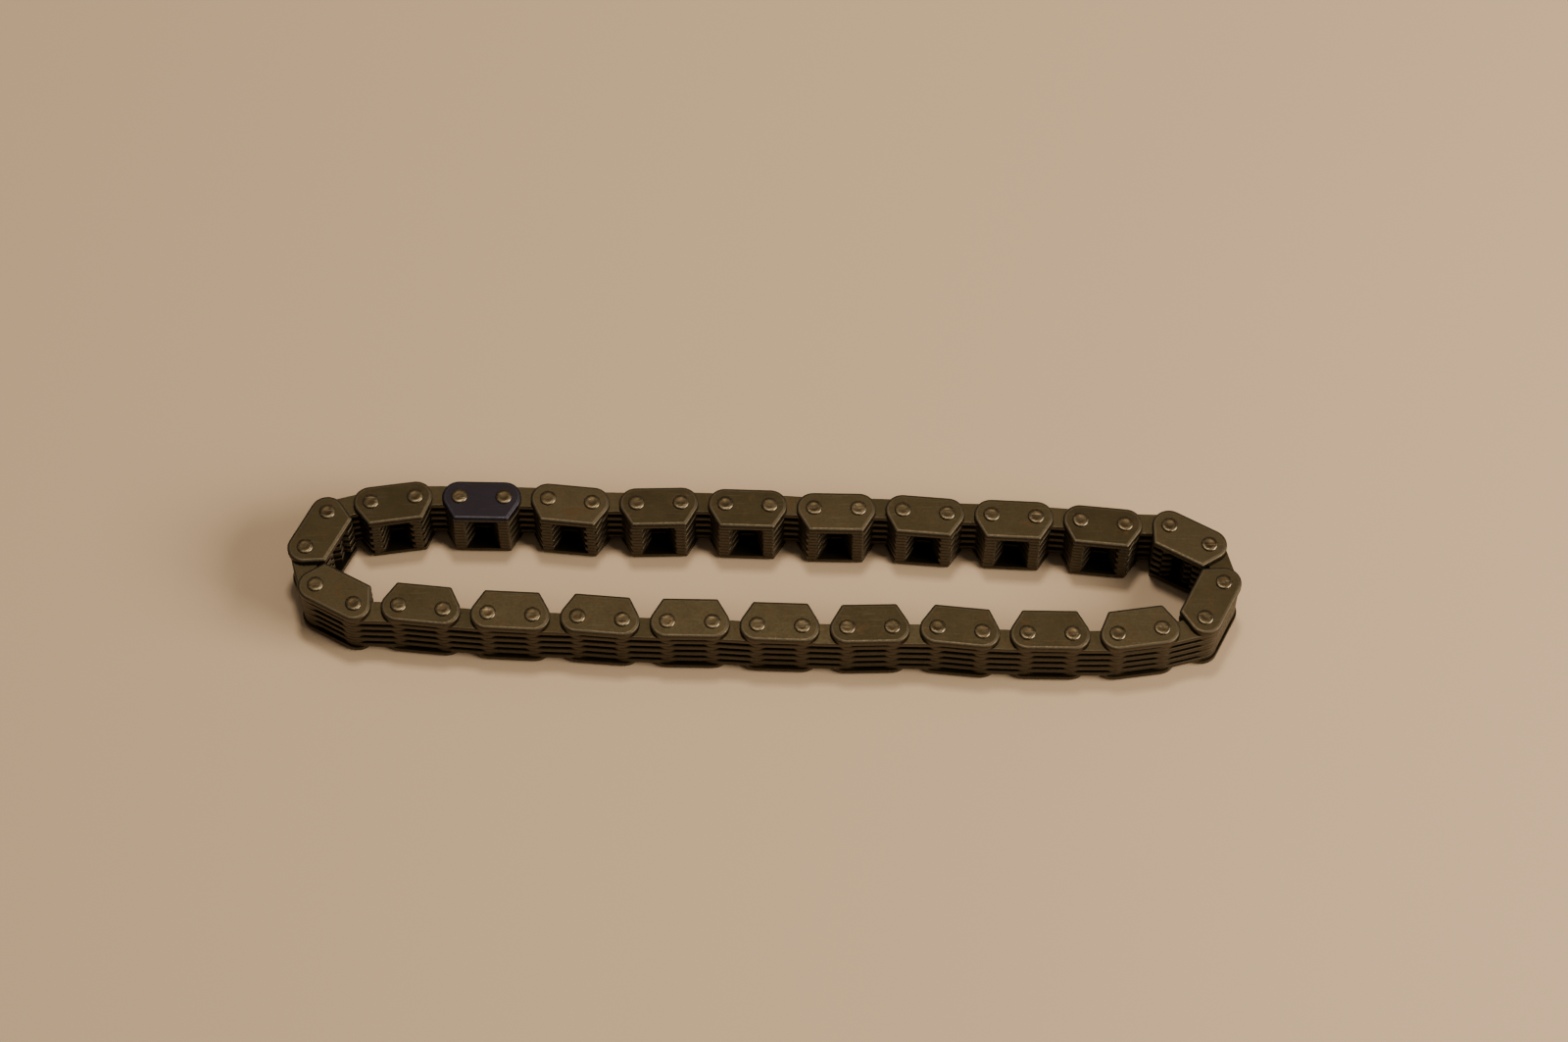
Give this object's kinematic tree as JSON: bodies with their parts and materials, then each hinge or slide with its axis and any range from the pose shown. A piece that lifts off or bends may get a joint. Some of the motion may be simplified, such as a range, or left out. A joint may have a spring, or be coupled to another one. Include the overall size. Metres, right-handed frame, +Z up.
{
  "type": "silent chain",
  "caption": "Endless inverted-tooth (silent) drive chain lying flat in a long narrow loop, toothed steel plates on riveted pins between guide plates, one plate blue.",
  "frame": {"origin": "centre of symmetry of the loop, on the plane that the chain lies on", "axes": "+X along the loop's long axis, +Z up along the pins, +Y towards the upper run, which holds the blue timing plate"},
  "size_m": [0.1706, 0.0342, 0.0129],
  "materials": {
    "plate_steel": "oiled, tumbled and blued, satin",
    "pin_steel": "bright riveted ends, satin",
    "timing_blue": "dark blue marking on satin steel"
  },
  "bodies": {
    "joint_link_01": {"joint_link_01": "plate_steel"},
    "guide_link_01": {"guide_link_01": "plate_steel"},
    "joint_link_02": {"joint_link_02": "plate_steel"},
    "timing_link": {"timing_lower_guide_plate": "plate_steel", "timing_upper_guide_plate": "timing_blue", "timing_toothed_plate_1": "plate_steel", "timing_toothed_plate_2": "plate_steel", "timing_toothed_plate_3": "plate_steel", "timing_toothed_plate_4": "plate_steel", "timing_pin_1": "pin_steel", "timing_pin_2": "pin_steel"},
    "joint_link_03": {"joint_link_03": "plate_steel"},
    "guide_link_03": {"guide_link_03": "plate_steel"},
    "joint_link_04": {"joint_link_04": "plate_steel"},
    "guide_link_04": {"guide_link_04": "plate_steel"},
    "joint_link_05": {"joint_link_05": "plate_steel"},
    "closing_link": {"closing_lower_guide_plate": "plate_steel", "closing_upper_guide_plate": "plate_steel", "closing_toothed_plate_1": "plate_steel", "closing_toothed_plate_2": "plate_steel", "closing_toothed_plate_3": "plate_steel", "closing_toothed_plate_4": "plate_steel", "closing_pin_1": "pin_steel", "closing_pin_2": "pin_steel"},
    "joint_link_06": {"joint_link_06": "plate_steel"},
    "guide_link_06": {"guide_link_06": "plate_steel"},
    "joint_link_07": {"joint_link_07": "plate_steel"},
    "guide_link_07": {"guide_link_07": "plate_steel"},
    "joint_link_08": {"joint_link_08": "plate_steel"},
    "guide_link_08": {"guide_link_08": "plate_steel"},
    "joint_link_09": {"joint_link_09": "plate_steel"},
    "guide_link_09": {"guide_link_09": "plate_steel"},
    "joint_link_10": {"joint_link_10": "plate_steel"},
    "guide_link_10": {"guide_link_10": "plate_steel"},
    "joint_link_11": {"joint_link_11": "plate_steel"},
    "guide_link_11": {"guide_link_11": "plate_steel"},
    "joint_link_12": {"joint_link_12": "plate_steel"},
    "guide_link_12": {"guide_link_12": "plate_steel"},
    "joint_link_13": {"joint_link_13": "plate_steel"},
    "guide_link_13": {"guide_link_13": "plate_steel"},
    "joint_link_14": {"joint_link_14": "plate_steel"},
    "guide_link_14": {"guide_link_14": "plate_steel"},
    "joint_link_15": {"joint_link_15": "plate_steel"},
    "guide_link_15": {"guide_link_15": "plate_steel"},
    "joint_link_16": {"joint_link_16": "plate_steel"},
    "guide_link_16": {"guide_link_16": "plate_steel"},
    "joint_link_17": {"joint_link_17": "plate_steel"},
    "guide_link_17": {"guide_link_17": "plate_steel"},
    "joint_link_18": {"joint_link_18": "plate_steel"},
    "guide_link_18": {"guide_link_18": "plate_steel"},
    "joint_link_19": {"joint_link_19": "plate_steel"},
    "guide_link_19": {"guide_link_19": "plate_steel"},
    "joint_link_20": {"joint_link_20": "plate_steel"},
    "guide_link_20": {"guide_link_20": "plate_steel"},
    "joint_link_21": {"joint_link_21": "plate_steel"},
    "guide_link_21": {"guide_link_21": "plate_steel"},
    "joint_link_22": {"joint_link_22": "plate_steel"},
    "guide_link_22": {"guide_link_22": "plate_steel"}
  },
  "joints": [
    {"name": "pivot_33", "type": "hinge", "parent": "guide_link_16", "child": "joint_link_17", "pos_m": [-0.00108, -0.01213, 0], "axis": [0, 0, 1], "range_deg": [-7.4, 0.6]},
    {"name": "pivot_34", "type": "hinge", "parent": "joint_link_17", "child": "guide_link_17", "pos_m": [-0.00906, -0.01157, 0], "axis": [0, 0, 1], "range_deg": [-8.75, 1]},
    {"name": "pivot_35", "type": "hinge", "parent": "guide_link_17", "child": "joint_link_18", "pos_m": [-0.01706, -0.01143, 0], "axis": [0, 0, 1], "range_deg": [-8, 0]},
    {"name": "pivot_36", "type": "hinge", "parent": "joint_link_18", "child": "guide_link_18", "pos_m": [-0.02506, -0.01115, 0], "axis": [0, 0, 1], "range_deg": [-4.75, 2.5]},
    {"name": "pivot_37", "type": "hinge", "parent": "guide_link_18", "child": "joint_link_19", "pos_m": [-0.03303, -0.01045, 0], "axis": [0, 0, 1], "range_deg": [-8.75, 1]},
    {"name": "pivot_38", "type": "hinge", "parent": "joint_link_19", "child": "guide_link_19", "pos_m": [-0.04102, -0.01017, 0], "axis": [0, 0, 1], "range_deg": [-7.4, 0.6]},
    {"name": "pivot_39", "type": "hinge", "parent": "guide_link_19", "child": "joint_link_20", "pos_m": [-0.04901, -0.00975, 0], "axis": [0, 0, 1], "range_deg": [-8, 0]},
    {"name": "pivot_40", "type": "hinge", "parent": "joint_link_20", "child": "guide_link_20", "pos_m": [-0.05698, -0.00906, 0], "axis": [0, 0, 1], "range_deg": [-7.4, 0.6]},
    {"name": "pivot_41", "type": "hinge", "parent": "guide_link_20", "child": "joint_link_21", "pos_m": [-0.06494, -0.00822, 0], "axis": [0, 0, 1], "range_deg": [-8.75, 1]},
    {"name": "pivot_42", "type": "hinge", "parent": "joint_link_21", "child": "guide_link_21", "pos_m": [-0.07293, -0.00794, 0], "axis": [0, 0, 1], "range_deg": [-10, 19]},
    {"name": "pivot_43", "type": "hinge", "parent": "guide_link_21", "child": "joint_link_22", "pos_m": [-0.07993, -0.00406, 0], "axis": [0, 0, 1], "range_deg": [-3, 37]},
    {"name": "pivot_44", "type": "hinge", "parent": "joint_link_22", "child": "guide_link_22", "pos_m": [-0.08214, 0.00363, 0], "axis": [0, 0, 1], "range_deg": [-4, 35]},
    {"name": "pivot_01", "type": "hinge", "parent": "guide_link_22", "child": "joint_link_01", "pos_m": [-0.0785, 0.01076, 0], "axis": [0, 0, 1], "range_deg": [0, 40]},
    {"name": "pivot_02", "type": "hinge", "parent": "joint_link_01", "child": "guide_link_01", "pos_m": [-0.07078, 0.01283, 0], "axis": [0, 0, 1], "range_deg": [-4.75, 2.5]},
    {"name": "pivot_03", "type": "hinge", "parent": "guide_link_01", "child": "joint_link_02", "pos_m": [-0.06285, 0.01394, 0], "axis": [0, 0, 1], "range_deg": [-4.75, 2.5]},
    {"name": "pivot_04", "type": "hinge", "parent": "joint_link_02", "child": "timing_link", "pos_m": [-0.05485, 0.01394, 0], "axis": [0, 0, 1], "range_deg": [-8, 0]},
    {"name": "pivot_05", "type": "hinge", "parent": "timing_link", "child": "joint_link_03", "pos_m": [-0.04685, 0.0138, 0], "axis": [0, 0, 1], "range_deg": [-7.4, 0.6]},
    {"name": "pivot_06", "type": "hinge", "parent": "joint_link_03", "child": "guide_link_03", "pos_m": [-0.03886, 0.01352, 0], "axis": [0, 0, 1], "range_deg": [-4.75, 2.5]},
    {"name": "pivot_07", "type": "hinge", "parent": "guide_link_03", "child": "joint_link_04", "pos_m": [-0.0309, 0.01268, 0], "axis": [0, 0, 1], "range_deg": [-8.75, 1]},
    {"name": "pivot_08", "type": "hinge", "parent": "joint_link_04", "child": "guide_link_04", "pos_m": [-0.0229, 0.01254, 0], "axis": [0, 0, 1], "range_deg": [-8, 0]},
    {"name": "pivot_09", "type": "hinge", "parent": "guide_link_04", "child": "joint_link_05", "pos_m": [-0.01491, 0.01268, 0], "axis": [0, 0, 1], "range_deg": [-7.4, 0.6]},
    {"name": "pivot_10", "type": "hinge", "parent": "joint_link_05", "child": "closing_link", "pos_m": [-0.00691, 0.01241, 0], "axis": [0, 0, 1], "range_deg": [-8, 0]},
    {"name": "pivot_32", "type": "hinge", "parent": "guide_link_16", "child": "joint_link_16", "pos_m": [0.00691, -0.01241, 0], "axis": [0, 0, -1], "range_deg": [-8, 0]},
    {"name": "pivot_31", "type": "hinge", "parent": "joint_link_16", "child": "guide_link_15", "pos_m": [0.01491, -0.01268, 0], "axis": [0, 0, -1], "range_deg": [-7.4, 0.6]},
    {"name": "pivot_30", "type": "hinge", "parent": "guide_link_15", "child": "joint_link_15", "pos_m": [0.0229, -0.01254, 0], "axis": [0, 0, -1], "range_deg": [-8, 0]},
    {"name": "pivot_29", "type": "hinge", "parent": "joint_link_15", "child": "guide_link_14", "pos_m": [0.0309, -0.01268, 0], "axis": [0, 0, -1], "range_deg": [-8.75, 1]},
    {"name": "pivot_28", "type": "hinge", "parent": "guide_link_14", "child": "joint_link_14", "pos_m": [0.03886, -0.01352, 0], "axis": [0, 0, -1], "range_deg": [-4.75, 2.5]},
    {"name": "pivot_27", "type": "hinge", "parent": "joint_link_14", "child": "guide_link_13", "pos_m": [0.04685, -0.0138, 0], "axis": [0, 0, -1], "range_deg": [-7.4, 0.6]},
    {"name": "pivot_26", "type": "hinge", "parent": "guide_link_13", "child": "joint_link_13", "pos_m": [0.05485, -0.01394, 0], "axis": [0, 0, -1], "range_deg": [-8, 0]},
    {"name": "pivot_25", "type": "hinge", "parent": "joint_link_13", "child": "guide_link_12", "pos_m": [0.06285, -0.01394, 0], "axis": [0, 0, -1], "range_deg": [-4.75, 2.5]},
    {"name": "pivot_24", "type": "hinge", "parent": "guide_link_12", "child": "joint_link_12", "pos_m": [0.07078, -0.01283, 0], "axis": [0, 0, -1], "range_deg": [-4.75, 2.5]},
    {"name": "pivot_23", "type": "hinge", "parent": "joint_link_12", "child": "guide_link_11", "pos_m": [0.0785, -0.01076, 0], "axis": [0, 0, -1], "range_deg": [0, 40]},
    {"name": "pivot_22", "type": "hinge", "parent": "guide_link_11", "child": "joint_link_11", "pos_m": [0.08214, -0.00363, 0], "axis": [0, 0, -1], "range_deg": [-4, 35]},
    {"name": "pivot_21", "type": "hinge", "parent": "joint_link_11", "child": "guide_link_10", "pos_m": [0.07993, 0.00406, 0], "axis": [0, 0, -1], "range_deg": [-3, 37]},
    {"name": "pivot_20", "type": "hinge", "parent": "guide_link_10", "child": "joint_link_10", "pos_m": [0.07293, 0.00794, 0], "axis": [0, 0, -1], "range_deg": [-10, 19]},
    {"name": "pivot_19", "type": "hinge", "parent": "joint_link_10", "child": "guide_link_09", "pos_m": [0.06494, 0.00822, 0], "axis": [0, 0, -1], "range_deg": [-8.75, 1]},
    {"name": "pivot_18", "type": "hinge", "parent": "guide_link_09", "child": "joint_link_09", "pos_m": [0.05698, 0.00906, 0], "axis": [0, 0, -1], "range_deg": [-7.4, 0.6]},
    {"name": "pivot_17", "type": "hinge", "parent": "joint_link_09", "child": "guide_link_08", "pos_m": [0.04901, 0.00975, 0], "axis": [0, 0, -1], "range_deg": [-8, 0]},
    {"name": "pivot_16", "type": "hinge", "parent": "guide_link_08", "child": "joint_link_08", "pos_m": [0.04102, 0.01017, 0], "axis": [0, 0, -1], "range_deg": [-7.4, 0.6]},
    {"name": "pivot_15", "type": "hinge", "parent": "joint_link_08", "child": "guide_link_07", "pos_m": [0.03303, 0.01045, 0], "axis": [0, 0, -1], "range_deg": [-8.75, 1]},
    {"name": "pivot_14", "type": "hinge", "parent": "guide_link_07", "child": "joint_link_07", "pos_m": [0.02506, 0.01115, 0], "axis": [0, 0, -1], "range_deg": [-4.75, 2.5]},
    {"name": "pivot_13", "type": "hinge", "parent": "joint_link_07", "child": "guide_link_06", "pos_m": [0.01706, 0.01143, 0], "axis": [0, 0, -1], "range_deg": [-8, 0]},
    {"name": "pivot_12", "type": "hinge", "parent": "guide_link_06", "child": "joint_link_06", "pos_m": [0.00906, 0.01157, 0], "axis": [0, 0, -1], "range_deg": [-8.75, 1]}
  ],
  "couplings": [
    {"joint": "pivot_33", "follows": "pivot_43", "ratio": -0.2},
    {"joint": "pivot_34", "follows": "pivot_44", "ratio": -0.25},
    {"joint": "pivot_35", "follows": "pivot_23", "ratio": -0.2},
    {"joint": "pivot_36", "follows": "pivot_42", "ratio": -0.25},
    {"joint": "pivot_37", "follows": "pivot_44", "ratio": -0.25},
    {"joint": "pivot_38", "follows": "pivot_43", "ratio": -0.2},
    {"joint": "pivot_39", "follows": "pivot_23", "ratio": -0.2},
    {"joint": "pivot_40", "follows": "pivot_43", "ratio": -0.2},
    {"joint": "pivot_41", "follows": "pivot_44", "ratio": -0.25},
    {"joint": "pivot_01", "follows": "pivot_23", "ratio": 1},
    {"joint": "pivot_02", "follows": "pivot_42", "ratio": -0.25},
    {"joint": "pivot_03", "follows": "pivot_42", "ratio": -0.25},
    {"joint": "pivot_04", "follows": "pivot_23", "ratio": -0.2},
    {"joint": "pivot_05", "follows": "pivot_43", "ratio": -0.2},
    {"joint": "pivot_06", "follows": "pivot_42", "ratio": -0.25},
    {"joint": "pivot_07", "follows": "pivot_44", "ratio": -0.25},
    {"joint": "pivot_08", "follows": "pivot_23", "ratio": -0.2},
    {"joint": "pivot_09", "follows": "pivot_43", "ratio": -0.2},
    {"joint": "pivot_10", "follows": "pivot_23", "ratio": -0.2},
    {"joint": "pivot_32", "follows": "pivot_23", "ratio": -0.2},
    {"joint": "pivot_31", "follows": "pivot_43", "ratio": -0.2},
    {"joint": "pivot_30", "follows": "pivot_23", "ratio": -0.2},
    {"joint": "pivot_29", "follows": "pivot_44", "ratio": -0.25},
    {"joint": "pivot_28", "follows": "pivot_42", "ratio": -0.25},
    {"joint": "pivot_27", "follows": "pivot_43", "ratio": -0.2},
    {"joint": "pivot_26", "follows": "pivot_23", "ratio": -0.2},
    {"joint": "pivot_25", "follows": "pivot_42", "ratio": -0.25},
    {"joint": "pivot_24", "follows": "pivot_42", "ratio": -0.25},
    {"joint": "pivot_22", "follows": "pivot_44", "ratio": 1},
    {"joint": "pivot_21", "follows": "pivot_43", "ratio": 1},
    {"joint": "pivot_20", "follows": "pivot_42", "ratio": 1},
    {"joint": "pivot_19", "follows": "pivot_44", "ratio": -0.25},
    {"joint": "pivot_18", "follows": "pivot_43", "ratio": -0.2},
    {"joint": "pivot_17", "follows": "pivot_23", "ratio": -0.2},
    {"joint": "pivot_16", "follows": "pivot_43", "ratio": -0.2},
    {"joint": "pivot_15", "follows": "pivot_44", "ratio": -0.25},
    {"joint": "pivot_14", "follows": "pivot_42", "ratio": -0.25},
    {"joint": "pivot_13", "follows": "pivot_23", "ratio": -0.2},
    {"joint": "pivot_12", "follows": "pivot_44", "ratio": -0.25}
  ]
}
